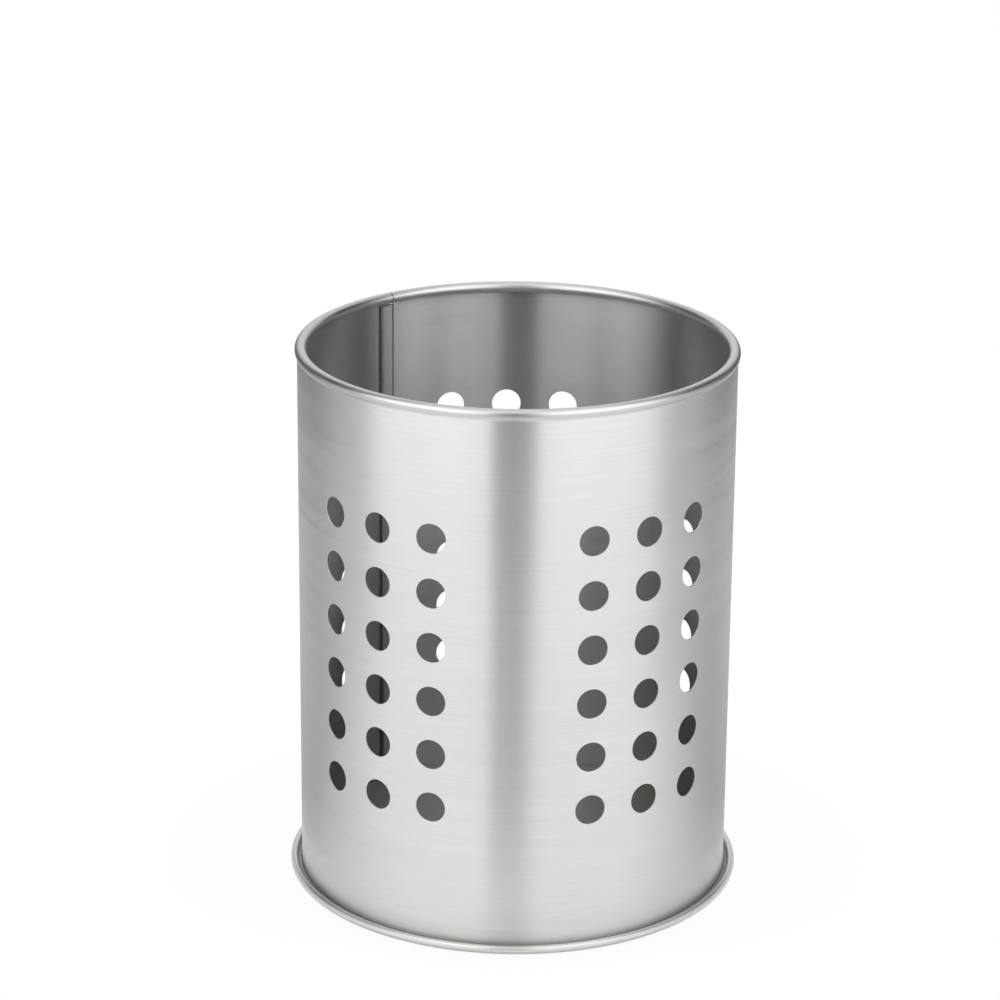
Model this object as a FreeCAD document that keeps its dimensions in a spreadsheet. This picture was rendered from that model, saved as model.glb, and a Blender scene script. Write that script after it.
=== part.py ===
# Perforated steel utensil holder: one rolled sheet for the wall and one pressed
# disc for the base. The wall's ends hook into each other in a lock seam up the
# back, its top edge is curled into the rim, and its bottom edge is flanged so
# that the edge of the base can be curled over it.
#
# Millimetres and degrees. The origin is the middle of the foot, +Z is up, and the
# side turned to the viewer looks along -Y.
import FreeCAD
import Part
import Sketcher

import math
import os

V = FreeCAD.Vector

# Sketch vocabulary: the two ends and the centre of a piece, and the sketch's own
# origin and axes.
START, END, CENTRE = 1, 2, 3
ORIGIN = (-1, 1)
AXIS_ACROSS, AXIS_UP = -1, -2
LEFT, RIGHT = 1, -1

# Sizes that can be set one by one.
DRIVING = [
    ("overall_height", 147.2, "table to the top of the rim"),
    ("wall_diameter", 115.1, "outside of the rolled wall"),
    ("wall_sheet", 0.4, "thickness of the wall's sheet"),
    ("base_sheet", 0.4, "thickness of the base's sheet"),
    ("rim_bead", 3.0, "outside diameter of the curled rim"),
    ("rim_overhang", 0.6, "how far the rim stands out past the wall"),
    ("rim_neck", 0.8, "bend where the wall flares into the rim"),
    ("rim_tuck", 0.1, "how far the curl's lip runs on under the bead's middle"),
    ("flange_bend", 0.25, "inside bend of the wall's curled flange"),
    ("heel_bend", 0.5, "inside bend between wall and flange"),
    ("foot_width", 1.45, "width of the flat ring that it stands on"),
    ("seam_play", 0.05, "room between wall and base in their seam"),
    ("lip_gap", 0.06, "room between the base's lip and the flange"),
    ("panel_height", 3.7, "table to the underside of the base panel"),
    ("panel_bend", 1.0, "inside bend round the edge of the panel"),
    ("lock_hook", 2.2, "length of each hook in the lock seam"),
    ("lock_play", 0.05, "room between the layers of the lock seam"),
    ("lock_slit", 0.2, "slit between the sheet's ends at rim and foot"),
    ("lock_end_gap", 0.35, "the lock seam stops this far from rim and base"),
    ("lock_turn", 128.8, "turn from +X to the lock seam"),
    ("hole_diameter", 8.0, "punched hole"),
    ("hole_rows", 6, "holes one above the other"),
    ("row_pitch", 14.67, "from row to row"),
    ("bottom_row", 38.5, "table to the middle of the lowest row"),
    ("hole_columns", 3, "columns side by side in a group"),
    ("column_pitch", 15.86, "turn from column to column"),
    ("hole_groups", 5, "groups round the wall"),
    ("first_group", 30.8, "turn from the lock seam to the first group's middle"),
    ("last_group", 35.1, "turn from the last group's middle on to the lock seam"),
]

# Sizes that follow from those.
DERIVED = [
    ("wall_face", "=wall_diameter / 2", "radius of the wall's outer face"),
    ("bead_radius", "=rim_bead / 2", "outside radius of the rim"),
    ("bead_reach", "=wall_face + rim_overhang - bead_radius", "axis to the rim's middle"),
    ("bead_height", "=overall_height - bead_radius", "table to the rim's middle"),
    ("flange_level", "=base_sheet + seam_play + wall_sheet", "table to the flange's top"),
    ("seam_radius", "=flange_bend + flange_level", "outside radius of the base seam"),
    ("heel_reach", "=wall_face + heel_bend", "axis to the middle of the heel bends"),
    ("heel_height", "=flange_level + heel_bend", "table to that middle"),
    ("seam_reach", "=heel_reach + foot_width", "axis to the base seam's middle"),
    ("lip_level", "=flange_level + lip_gap", "table to the end of the base's lip"),
    ("collar_face", "=wall_face - flange_level", "inner radius of the base's collar"),
    ("layer", "=wall_sheet + lock_play", "one layer of the lock seam"),
    ("fold_outer", "=layer + wall_sheet / 2", "outside radius of the first fold"),
    ("fold_inner", "=layer - wall_sheet / 2", "inside radius of the second fold"),
    ("joggle_near", "=2 * layer - wall_sheet / 2", "bend round the first fold"),
    ("joggle_far", "=2 * layer + wall_sheet / 2", "bend back out to the wall"),
    ("hook_face", "=wall_face - 2 * layer - wall_sheet", "inner face of the first hook"),
    ("cover_face", "=wall_face - 3 * layer", "outer face of the layer over it"),
    ("fold_back", "=lock_hook + 2 * lock_play", "first fold back to the second fold"),
    ("tongue_back", "=2 * lock_play", "first fold back to the second hook's tip"),
    ("joggle_room", "=5 * layer", "length of wall given over to the joggle"),
    ("joggle_turn", "=asin(joggle_room / wall_face) / 1 deg", "that length as a turn"),
    ("slit_turn", "=lock_slit / wall_face * 180 / pi", "the slit as a turn"),
    ("lock_low", "=panel_height + base_sheet + lock_end_gap", "bottom of the lock seam"),
    ("lock_high", "=overall_height - rim_bead - lock_end_gap", "top of the lock seam"),
    ("first_hole", "=first_group - (hole_columns - 1) / 2 * column_pitch", "turn to the first column"),
    ("group_pitch", "=(360 - first_group - last_group) / (hole_groups - 1)", "group to group"),
]

doc = FreeCAD.newDocument("utensil_holder")
dims = doc.addObject("Spreadsheet::Sheet", "Dims")
for number, (alias, content, meaning) in enumerate(DRIVING + DERIVED, start=1):
    dims.set(f"A{number}", meaning)
    dims.set(f"B{number}", str(content))
    dims.setAlias(f"B{number}", alias)
doc.recompute()


def size(alias):
    """The number in a named cell."""
    return float(getattr(dims, alias))


def plane(body, role):
    """One of the body's own origin planes or axes."""
    return next(item for item in body.Origin.OriginFeatures if item.Role == role)


def new_sketch(body, name, role):
    sketch = body.newObject("Sketcher::SketchObject", name)
    sketch.AttachmentSupport = [(plane(body, role), "")]
    sketch.MapMode = "FlatFace"
    return sketch


def rule(sketch, kind, *where):
    """A constraint that has no size."""
    return sketch.addConstraint(Sketcher.Constraint(kind, *where))


def dimension(sketch, kind, alias, *where):
    """A constraint whose size is a named cell."""
    index = sketch.addConstraint(Sketcher.Constraint(kind, *where, size(alias)))
    name = f"{alias}_{index}"
    sketch.renameConstraint(index, name)
    sketch.setExpression(f"Constraints.{name}", f"Dims.{alias}")


# Sheet metal in section: one skin is drawn as a path of lines and arcs, the other
# skin runs beside it at the sheet's thickness, and a cap closes each end.
class Line:
    def __init__(self, start, end):
        self.start = V(*start, 0)
        self.end = V(*end, 0)

    def beside(self, step):
        along = (self.end - self.start).normalize()
        across = V(-along.y, along.x, 0) * step
        return Line((self.start + across)[:2], (self.end + across)[:2])

    def draw(self, sketch):
        self.id = sketch.addGeometry(Part.LineSegment(self.start, self.end), False)
        self.first, self.last = (self.id, START), (self.id, END)


class Arc:
    """Travels between two angles in degrees, clockwise if the second is smaller."""

    def __init__(self, centre, radius, start, end):
        self.centre, self.radius = centre, radius
        self.start, self.end = start, end

    def beside(self, step):
        inward = step if self.end > self.start else -step
        return Arc(self.centre, self.radius - inward, self.start, self.end)

    def draw(self, sketch):
        low, high = sorted((math.radians(self.start), math.radians(self.end)))
        circle = Part.Circle(V(*self.centre, 0), V(0, 0, 1), self.radius)
        self.id = sketch.addGeometry(Part.ArcOfCircle(circle, low, high), False)
        ends = [(self.id, START), (self.id, END)]
        self.first, self.last = ends if self.end > self.start else ends[::-1]


def sheet_section(sketch, path, thickness, side):
    """Draws path and its parallel on one side. Returns the parallel's pieces and the caps."""
    twin = [piece.beside(side * size(thickness)) for piece in path]
    for skin in (path, twin):
        for piece in skin:
            piece.draw(sketch)
        for one, other in zip(skin, skin[1:]):
            rule(sketch, "Tangent", *one.last, *other.first)
    for piece, partner in zip(path, twin):
        if isinstance(piece, Arc):
            rule(sketch, "Coincident", piece.id, CENTRE, partner.id, CENTRE)
    caps = []
    for one, other in ((path[0].first, twin[0].first), (path[-1].last, twin[-1].last)):
        points = [sketch.getPoint(*one), sketch.getPoint(*other)]
        cap = sketch.addGeometry(Part.LineSegment(*points), False)
        rule(sketch, "Coincident", cap, START, *one)
        rule(sketch, "Coincident", cap, END, *other)
        caps.append(cap)
    dimension(sketch, "Distance", thickness, caps[0])
    rule(sketch, "PointOnObject", path[0].id, CENTRE, caps[0])
    return twin, caps


# Wall: the path is the outer face. From the tip of the flange it runs under the
# base seam's middle, up the heel and the wall, out through the neck, and over the
# rim to the lip of the curl.
def wall_section(body):
    sketch = new_sketch(body, "wall_section", "XZ_Plane")
    seam = (size("seam_reach"), size("seam_radius"))
    heel = (size("heel_reach"), size("heel_height"))
    bead = (size("bead_reach"), size("bead_height"))
    face, level = size("wall_face"), size("flange_level")
    neck_out = face + size("rim_neck") - bead[0]
    neck_drop = math.sqrt((size("bead_radius") + size("rim_neck")) ** 2 - neck_out ** 2)
    neck = (bead[0] + neck_out, bead[1] - neck_drop)
    lean = math.degrees(math.atan2(neck_drop, neck_out))
    tuck = math.degrees(math.asin(size("rim_tuck") / size("bead_radius")))

    flange = Arc(seam, size("flange_bend"), 90, -90)
    foot = Line((seam[0], level), (heel[0], level))
    bend = Arc(heel, size("heel_bend"), 270, 180)
    upright = Line((face, heel[1]), (face, neck[1]))
    flare = Arc(neck, size("rim_neck"), 180, 180 - lean)
    curl = Arc(bead, size("bead_radius"), -lean, 270 + tuck)
    path = [flange, foot, bend, upright, flare, curl]
    twin, caps = sheet_section(sketch, path, "wall_sheet", LEFT)

    for piece in (foot, twin[1]):
        rule(sketch, "Horizontal", piece.id)
    for piece in (upright, twin[3]):
        rule(sketch, "Vertical", piece.id)
    rule(sketch, "Vertical", flange.id, CENTRE, *flange.first)
    rule(sketch, "PointOnObject", curl.id, CENTRE, caps[1])
    dimension(sketch, "Radius", "flange_bend", flange.id)
    dimension(sketch, "Radius", "heel_bend", bend.id)
    dimension(sketch, "Radius", "rim_neck", flare.id)
    dimension(sketch, "Radius", "bead_radius", curl.id)
    dimension(sketch, "DistanceX", "wall_face", *ORIGIN, *upright.first)
    dimension(sketch, "DistanceY", "flange_level", *ORIGIN, *foot.first)
    dimension(sketch, "DistanceX", "foot_width", *foot.last, *foot.first)
    dimension(sketch, "DistanceX", "bead_reach", *ORIGIN, curl.id, CENTRE)
    dimension(sketch, "DistanceY", "bead_height", *ORIGIN, curl.id, CENTRE)
    dimension(sketch, "DistanceX", "rim_tuck", curl.id, CENTRE, *curl.last)
    return sketch


# Lock seam in plan, on the +X side. The first end of the sheet stops at the X axis,
# folds inward and runs back as a hook. The other end leaves the wall's circle in a
# joggle round that fold, covers the hook, folds outward and slips into it.
def first_hook(body):
    sketch = new_sketch(body, "first_hook", "XY_Plane")
    middle = size("wall_face") - size("fold_outer")
    reach = math.degrees(math.asin(size("lock_hook") / size("hook_face")))

    fold = Arc((middle, 0), size("fold_outer"), 0, -180)
    hook = Arc((0, 0), size("hook_face"), 0, reach)
    twin, caps = sheet_section(sketch, [fold, hook], "wall_sheet", RIGHT)

    rule(sketch, "Coincident", hook.id, CENTRE, *ORIGIN)
    rule(sketch, "PointOnObject", hook.id, CENTRE, caps[1])
    rule(sketch, "PointOnObject", fold.id, CENTRE, AXIS_ACROSS)
    rule(sketch, "PointOnObject", *fold.first, AXIS_ACROSS)
    dimension(sketch, "Radius", "fold_outer", fold.id)
    dimension(sketch, "Radius", "hook_face", hook.id)
    dimension(sketch, "DistanceY", "lock_hook", *ORIGIN, *hook.last)
    return sketch


def second_hook(body):
    sketch = new_sketch(body, "second_hook", "XY_Plane")
    face, cover = size("wall_face"), size("cover_face")
    near, far = size("joggle_near"), size("joggle_far")
    near_reach, far_reach = cover + near, face - far
    cosine = near_reach ** 2 + far_reach ** 2 - (near + far) ** 2
    leave = math.acos(cosine / (2 * near_reach * far_reach))
    far_middle = (far_reach * math.cos(leave), -far_reach * math.sin(leave))
    lean = math.degrees(math.atan2(far_middle[1], far_middle[0] - near_reach))
    leave = math.degrees(leave)
    back = math.asin(size("fold_back") / cover)
    fold_reach = cover + size("fold_inner")
    fold_middle = (fold_reach * math.cos(back), fold_reach * math.sin(back))
    back = math.degrees(back)
    tongue = cover + 2 * size("fold_inner")
    tip = math.degrees(math.asin(size("tongue_back") / tongue))

    joined = Arc((0, 0), face, -size("joggle_turn"), -leave)
    out = Arc(far_middle, far, -leave, 180 + lean)
    into = Arc((near_reach, 0), near, lean, -180)
    covering = Arc((0, 0), cover, 0, back)
    fold = Arc(fold_middle, size("fold_inner"), back - 180, back - 360)
    hook = Arc((0, 0), tongue, back, tip)
    path = [joined, out, into, covering, fold, hook]
    twin, caps = sheet_section(sketch, path, "wall_sheet", LEFT)

    for piece in (joined, covering, hook):
        rule(sketch, "Coincident", piece.id, CENTRE, *ORIGIN)
    rule(sketch, "PointOnObject", into.id, CENTRE, AXIS_ACROSS)
    rule(sketch, "PointOnObject", hook.id, CENTRE, caps[1])
    dimension(sketch, "Radius", "wall_face", joined.id)
    dimension(sketch, "Radius", "joggle_far", out.id)
    dimension(sketch, "Radius", "joggle_near", into.id)
    dimension(sketch, "Radius", "cover_face", covering.id)
    dimension(sketch, "Radius", "fold_inner", fold.id)
    dimension(sketch, "DistanceY", "joggle_room", *joined.first, *ORIGIN)
    dimension(sketch, "DistanceY", "fold_back", *ORIGIN, *covering.last)
    dimension(sketch, "DistanceY", "tongue_back", *ORIGIN, *hook.last)
    return sketch


def punch(body, sheet):
    """One hole, repeated up the rows, across the columns and round the groups.

    The punch starts just inside the wall and goes outward.
    """
    sketch = new_sketch(body, "hole", "XZ_Plane")
    sketch.AttachmentOffset = FreeCAD.Placement(V(0, 0, 0), FreeCAD.Rotation(V(0, 1, 0), 90))
    sketch.setExpression("AttachmentOffset.Rotation.Angle", "90 + Dims.first_hole")
    sketch.setExpression("AttachmentOffset.Base.x", "Dims.cover_face * cos(Dims.first_hole * 1 deg)")
    sketch.setExpression("AttachmentOffset.Base.z", "-Dims.cover_face * sin(Dims.first_hole * 1 deg)")
    ring = sketch.addGeometry(Part.Circle(V(0, size("bottom_row"), 0), V(0, 0, 1), 1), False)
    rule(sketch, "PointOnObject", ring, CENTRE, AXIS_UP)
    dimension(sketch, "DistanceY", "bottom_row", *ORIGIN, ring, CENTRE)
    dimension(sketch, "Diameter", "hole_diameter", ring)
    hole = body.newObject("PartDesign::Pocket", "punched_hole")
    hole.Profile = sketch
    hole.Type = "ThroughAll"
    hole.Reversed = True
    doc.recompute()
    if hole.Shape.Volume >= sheet.Shape.Volume:
        raise RuntimeError("the punch missed the wall")

    punching = body.newObject("PartDesign::MultiTransform", "punching")
    punching.Originals = [hole]
    rows = body.newObject("PartDesign::LinearPattern", "rows")
    rows.Direction = (plane(body, "Z_Axis"), [""])
    rows.setExpression("Length", "(Dims.hole_rows - 1) * Dims.row_pitch")
    rows.setExpression("Occurrences", "Dims.hole_rows")
    columns = body.newObject("PartDesign::PolarPattern", "columns")
    columns.setExpression("Angle", "(Dims.hole_columns - 1) * Dims.column_pitch")
    columns.setExpression("Occurrences", "Dims.hole_columns")
    groups = body.newObject("PartDesign::PolarPattern", "groups")
    groups.setExpression("Angle", "(Dims.hole_groups - 1) * Dims.group_pitch")
    groups.setExpression("Occurrences", "Dims.hole_groups")
    for pattern in (columns, groups):
        pattern.Axis = (plane(body, "Z_Axis"), [""])
    punching.Transformations = [rows, columns, groups]
    body.Tip = punching
    doc.recompute()


def make_wall():
    body = doc.addObject("PartDesign::Body", "wall")
    body.Label = "wall"
    rolled = body.newObject("PartDesign::Revolution", "rolled_sheet")
    rolled.Profile = wall_section(body)
    rolled.ReferenceAxis = (plane(body, "Z_Axis"), [""])
    rolled.setExpression("Angle", "360 - Dims.slit_turn")
    doc.recompute()

    notch = body.newObject("PartDesign::SubtractiveCylinder", "lock_notch")
    notch.AttachmentSupport = [(plane(body, "XY_Plane"), "")]
    notch.MapMode = "FlatFace"
    notch.AttachmentOffset = FreeCAD.Placement(V(0, 0, 0), FreeCAD.Rotation(V(0, 0, -1), 1))
    notch.setExpression("AttachmentOffset.Rotation.Angle", "Dims.joggle_turn")
    notch.setExpression("Radius", "Dims.wall_diameter")
    notch.setExpression("Angle", "Dims.joggle_turn")
    notch.setExpression("Height", "Dims.lock_high - Dims.lock_low + 2 * Dims.lock_slit")
    notch.setExpression("AttachmentOffset.Base.z", "Dims.lock_low - Dims.lock_slit")
    for hook in (first_hook(body), second_hook(body)):
        hook.setExpression("AttachmentOffset.Base.z", "Dims.lock_low")
        layers = body.newObject("PartDesign::Pad", f"{hook.Name}_layers")
        layers.Profile = hook
        layers.setExpression("Length", "Dims.lock_high - Dims.lock_low")
        doc.recompute()

    punch(body, layers)
    return body


# Base: the path is the outside and the underside. From the lip it runs over and
# round the curl, under the foot, up the collar inside the wall, and in along the
# raised panel to the axis.
def base_section(body):
    sketch = new_sketch(body, "base_section", "XZ_Plane")
    seam = (size("seam_reach"), size("seam_radius"))
    heel = (size("heel_reach"), size("heel_height"))
    collar, bend = size("collar_face"), size("panel_bend")
    corner = (collar - bend, size("panel_height") - bend)
    lip = 180 + math.degrees(math.asin((seam[1] - size("lip_level")) / seam[1]))

    curl = Arc(seam, size("seam_radius"), lip, -90)
    foot = Line((seam[0], 0), (heel[0], 0))
    turn = Arc(heel, size("heel_height"), 270, 180)
    upstand = Line((collar, heel[1]), (collar, corner[1]))
    shoulder = Arc(corner, bend, 0, 90)
    panel = Line((corner[0], size("panel_height")), (0, size("panel_height")))
    path = [curl, foot, turn, upstand, shoulder, panel]
    twin, caps = sheet_section(sketch, path, "base_sheet", RIGHT)

    for piece in (foot, twin[1], panel, twin[5]):
        rule(sketch, "Horizontal", piece.id)
    for piece in (upstand, twin[3]):
        rule(sketch, "Vertical", piece.id)
    rule(sketch, "PointOnObject", *foot.first, AXIS_ACROSS)
    for piece in (panel, twin[5]):
        rule(sketch, "PointOnObject", *piece.last, AXIS_UP)
    dimension(sketch, "Radius", "seam_radius", curl.id)
    dimension(sketch, "Radius", "heel_height", turn.id)
    dimension(sketch, "Radius", "panel_bend", shoulder.id)
    dimension(sketch, "DistanceX", "collar_face", *ORIGIN, *upstand.first)
    dimension(sketch, "DistanceX", "foot_width", *foot.last, *foot.first)
    dimension(sketch, "DistanceY", "panel_height", *ORIGIN, *panel.first)
    dimension(sketch, "DistanceY", "lip_level", *ORIGIN, *curl.first)
    return sketch


def make_base():
    body = doc.addObject("PartDesign::Body", "base")
    body.Label = "base"
    pressed = body.newObject("PartDesign::Revolution", "pressed_disc")
    pressed.Profile = base_section(body)
    pressed.ReferenceAxis = (plane(body, "Z_Axis"), [""])
    pressed.Angle = 360
    body.Tip = pressed
    doc.recompute()
    return body


# The pieces are turned together, so that the lock seam stands at the back.
pieces = [make_wall(), make_base()]
for piece in pieces:
    piece.Placement = FreeCAD.Placement(V(0, 0, 0), FreeCAD.Rotation(V(0, 0, 1), 90))
    piece.setExpression("Placement.Rotation.Angle", "Dims.lock_turn")
doc.recompute()

# Every step is checked before anything is written.
for item in doc.Objects:
    if {"Invalid", "Error"} & set(item.State):
        raise RuntimeError(f"{item.Name} failed: {item.State}")
for piece in pieces:
    shape = piece.Shape
    if shape.isNull() or not shape.isValid() or len(shape.Solids) != 1:
        raise RuntimeError(f"{piece.Label} is not one sound solid")

os.makedirs("parts", exist_ok=True)
for piece in pieces:
    piece.Shape.exportStep(f"parts/{piece.Label}.step")
    print(piece.Label, f"{piece.Shape.Volume / 1000:.2f} cm3")
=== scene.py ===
# %% [markdown]
# # A punched steel utensil holder
# The real holder is made of two pieces of stainless sheet. The wall is punched flat,
# rolled into a tube and hooked together in a lock seam. The base is a pressed disc
# whose edge is curled over the foot of the wall. We load the measured model first.
# It is the frame: everything below has to land on it.

# %% Load the measured model
import math

import bpy
import numpy as np
from mathutils import Matrix, Vector


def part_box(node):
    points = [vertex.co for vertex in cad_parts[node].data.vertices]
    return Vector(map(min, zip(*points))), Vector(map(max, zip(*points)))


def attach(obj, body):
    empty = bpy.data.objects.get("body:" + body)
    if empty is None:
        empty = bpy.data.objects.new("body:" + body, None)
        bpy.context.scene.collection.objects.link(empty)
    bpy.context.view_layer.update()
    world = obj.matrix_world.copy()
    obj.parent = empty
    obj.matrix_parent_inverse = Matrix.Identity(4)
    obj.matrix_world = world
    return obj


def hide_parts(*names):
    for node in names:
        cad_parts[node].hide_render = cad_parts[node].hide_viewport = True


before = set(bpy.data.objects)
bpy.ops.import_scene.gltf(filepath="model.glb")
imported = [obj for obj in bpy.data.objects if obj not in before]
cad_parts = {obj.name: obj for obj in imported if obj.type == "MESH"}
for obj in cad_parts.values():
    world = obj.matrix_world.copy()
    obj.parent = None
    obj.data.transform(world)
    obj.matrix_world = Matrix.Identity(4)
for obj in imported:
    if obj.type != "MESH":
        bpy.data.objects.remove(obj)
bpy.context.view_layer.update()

# %% [markdown]
# ## Sizes
# One unit in Blender is one metre here, and the sheet is 0.4 millimetres thick, so
# sizes are written in millimetres and multiplied once. Only the sizes that a maker
# would set are numbers. The rest follows from them.

# %% Sizes of the sheets
MM = 0.001
SHEET = 0.4 * MM                 # thickness of both sheets
WALL_FACE = 57.55 * MM           # radius of the wall's outer face
BEAD = 1.5 * MM                  # outside radius of the curled rim
BEAD_OVERHANG = 0.6 * MM         # the rim stands out past the wall by this
NECK = 0.8 * MM                  # bend where the wall flares into the rim
CURL_TUCK = 0.1 * MM             # the curl's lip runs on under the bead by this
FLANGE_BEND = 0.25 * MM          # inside bend of the wall's curled flange
HEEL_BEND = 0.5 * MM             # inside bend between wall and flange
FOOT_WIDTH = 1.45 * MM           # flat ring that the holder stands on
SEAM_PLAY = 0.05 * MM            # room between the sheets in the base seam
LIP_GAP = 0.06 * MM              # room between the base's lip and the flange
PANEL_HEIGHT = 3.7 * MM          # underside of the base panel above the table
PANEL_BEND = 1.0 * MM            # bend round the edge of the panel

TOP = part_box("wall")[1].z
BEAD_MIDDLE = (WALL_FACE + BEAD_OVERHANG - BEAD, TOP - BEAD)
FLANGE_TOP = 2 * SHEET + SEAM_PLAY
SEAM = FLANGE_BEND + FLANGE_TOP  # outside radius of the curled base seam
HEEL_MIDDLE = (WALL_FACE + HEEL_BEND, FLANGE_TOP + HEEL_BEND)
SEAM_MIDDLE = (HEEL_MIDDLE[0] + FOOT_WIDTH, SEAM)
COLLAR_FACE = WALL_FACE - FLANGE_TOP

# %% [markdown]
# ## The camera
# The picture was taken from a little above with a long lens, which is why the wall
# narrows so little towards the foot. A lens of 130 mm about a metre away gives the
# same ellipses at rim and foot. The camera stands in front of the -Y side and leans
# by half a degree, as a hand-set tripod does.

# %% Camera
CAMERA_DISTANCE = 0.96019        # from the point on the axis that it circles
CAMERA_HEIGHT = 0.103418         # height of that point
CAMERA_TILT = math.radians(19.519)
CAMERA_SWING = math.radians(0.271)
CAMERA_LEAN = math.radians(0.495)
HOLDER_TURN = math.radians(0.663)
LENS_MM, SENSOR_MM = 130.6, 36.0


def add_camera():
    """Looks down at the axis, then swings, leans, and goes round with the holder's turn."""
    cos_tilt, sin_tilt = math.cos(CAMERA_TILT), math.sin(CAMERA_TILT)
    eye = Vector((0, -cos_tilt, sin_tilt)) * CAMERA_DISTANCE + Vector((0, 0, CAMERA_HEIGHT))
    forward = Matrix.Rotation(CAMERA_SWING, 3, "Z") @ Vector((0, cos_tilt, -sin_tilt))
    right = forward.cross(Vector((0, 0, 1))).normalized()
    up = right.cross(forward)
    pose = Matrix((right, up, -forward)).transposed() @ Matrix.Rotation(CAMERA_LEAN, 3, "Z")
    lens = bpy.data.cameras.new("long_lens")
    lens.lens, lens.sensor_width, lens.sensor_fit = LENS_MM, SENSOR_MM, "HORIZONTAL"
    camera = bpy.data.objects.new("camera", lens)
    camera.matrix_world = (Matrix.Rotation(HOLDER_TURN, 4, "Z")
                           @ Matrix.Translation(eye) @ pose.to_4x4())
    bpy.context.scene.collection.objects.link(camera)
    bpy.context.scene.camera = camera
    return camera


camera = add_camera()
print("camera at", [round(v, 4) for v in camera.matrix_world.translation])

# %% [markdown]
# ## Sheet metal in section
# A bent sheet is easiest to think of as a line in section: straight runs and bends,
# one after the other. Each point of the line also knows which way its face looks, so
# the second face of the sheet lies straight behind it at the sheet's thickness. That
# keeps bends as round as a press makes them, which a bevel on a box would not.

# %% Runs and bends
def run(start, end, steps=1):
    """A straight run, with the metal on the left of the travel."""
    start, end = np.array(start), np.array(end)
    along = (end - start) / np.linalg.norm(end - start)
    facing = np.array((along[1], -along[0]))
    return [(start + (end - start) * share, facing) for share in np.linspace(0, 1, steps + 1)]


def bend(middle, radius, start, end, steps):
    """A bend between two angles in degrees, clockwise if the second is smaller."""
    outward = 1 if end > start else -1
    points = []
    for angle in np.radians(np.linspace(start, end, steps + 1)):
        spoke = np.array((math.cos(angle), math.sin(angle)))
        points.append((np.array(middle) + radius * spoke, outward * spoke))
    return points


def joined(*stretches):
    """The stretches as one line, without their shared points twice."""
    line = list(stretches[0])
    for stretch in stretches[1:]:
        line += stretch[1:]
    return line


print("a quarter bend in four steps has", len(bend((0, 0), BEAD, 0, 90, 4)), "points")

# %% [markdown]
# ## The two skins of a sheet
# A sheet of metal has two faces that lie close together, and often they are finished
# differently. This small class keeps the front and the back side by side while a piece is
# laid out: each point is set down twice, and each face is named once with the finish it
# has in front and behind. A Solidify modifier could thicken a finished surface too, but the
# edges of the holes are rounded from one skin to the other, so both have to be at hand.

# %% A sheet with a front and a back
class Sheet:
    def __init__(self):
        self.front, self.back, self.facing = [], [], []
        self.quads, self.finishes = [], []
        self.extra_points, self.extra_faces = [], []
        self.holes, self.hole_edges = [], set()

    def point(self, front, back, facing):
        self.front.append(front)
        self.back.append(back)
        self.facing.append(facing)
        return len(self.front) - 1

    def quad(self, corners, finish):
        """One face on the front. finish is the material's number there and at the back."""
        self.quads.append(corners)
        self.finishes.append(finish)

    def strips(self, columns, finish):
        """Faces between neighbouring columns of points, each column running upward."""
        for near, far in zip(columns, columns[1:]):
            for low in range(len(near) - 1):
                self.quad((near[low], far[low], far[low + 1], near[low + 1]), finish)

    def free_edges(self):
        """Edges that only one front face has, in that face's direction."""
        edges = {}
        for quad in self.quads:
            for one, other in zip(quad, quad[1:] + quad[:1]):
                edges[one, other] = True
        return [e for e in edges if e[::-1] not in edges and e not in self.hole_edges]


trial = Sheet()
trial.quad((0, 1, 2, 3), (0, 0))
print("one face alone has", len(trial.free_edges()), "free edges")

# %% [markdown]
# ## Closing a sheet
# Once a piece is laid out, its free edges are walked and front and back are joined there,
# so the mesh is watertight like real metal. The shading normals come from the section and
# not from the polygons. Blender could work them out, but then a brushed tube would show
# its facets, most of all next to a hole.

# %% Close a sheet into a mesh
def closed_faces(sheet, edge_finish):
    """Faces of both skins and of the edges between them, with their normals and finishes."""
    behind = len(sheet.front)
    made = []
    for quad, (outside, inside) in zip(sheet.quads, sheet.finishes):
        made.append((quad, [sheet.facing[i] for i in quad], outside))
        mirrored = quad[::-1]
        made.append((tuple(i + behind for i in mirrored),
                     [-sheet.facing[i] for i in mirrored], inside))
    for one, other in sheet.free_edges():
        across = np.cross(sheet.front[other] - sheet.front[one],
                          sheet.back[one] - sheet.front[one])
        normal = -across / np.linalg.norm(across)
        made.append(((other, one, one + behind, other + behind), [normal] * 4, edge_finish))
    return made + [(face, normals, edge_finish) for face, normals in sheet.extra_faces]


def close(sheet, name, materials, edge_finish):
    """The finished mesh object."""
    points = [*sheet.front, *sheet.back, *sheet.extra_points]
    faces, normals, finishes = zip(*closed_faces(sheet, edge_finish))
    mesh = bpy.data.meshes.new(name)
    mesh.from_pydata([tuple(p) for p in points], [], faces)
    for material in materials:
        mesh.materials.append(material)
    mesh.polygons.foreach_set("material_index", finishes)
    mesh.polygons.foreach_set("use_smooth", [True] * len(faces))
    mesh.normals_split_custom_set([tuple(n) for corners in normals for n in corners])
    mesh.validate()
    piece = bpy.data.objects.new(name, mesh)
    bpy.context.scene.collection.objects.link(piece)
    print(f"{name}: {len(points)} points, {len(faces)} faces")
    return piece


# %% [markdown]
# ## Wiring a material
# Every finish here is a little machine of nodes, and so are the floor, the tent and the
# sky further down. Two steps come up again and again: turning one range of values into
# another, and making one value out of two. Written once, they keep the recipes readable.

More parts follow.
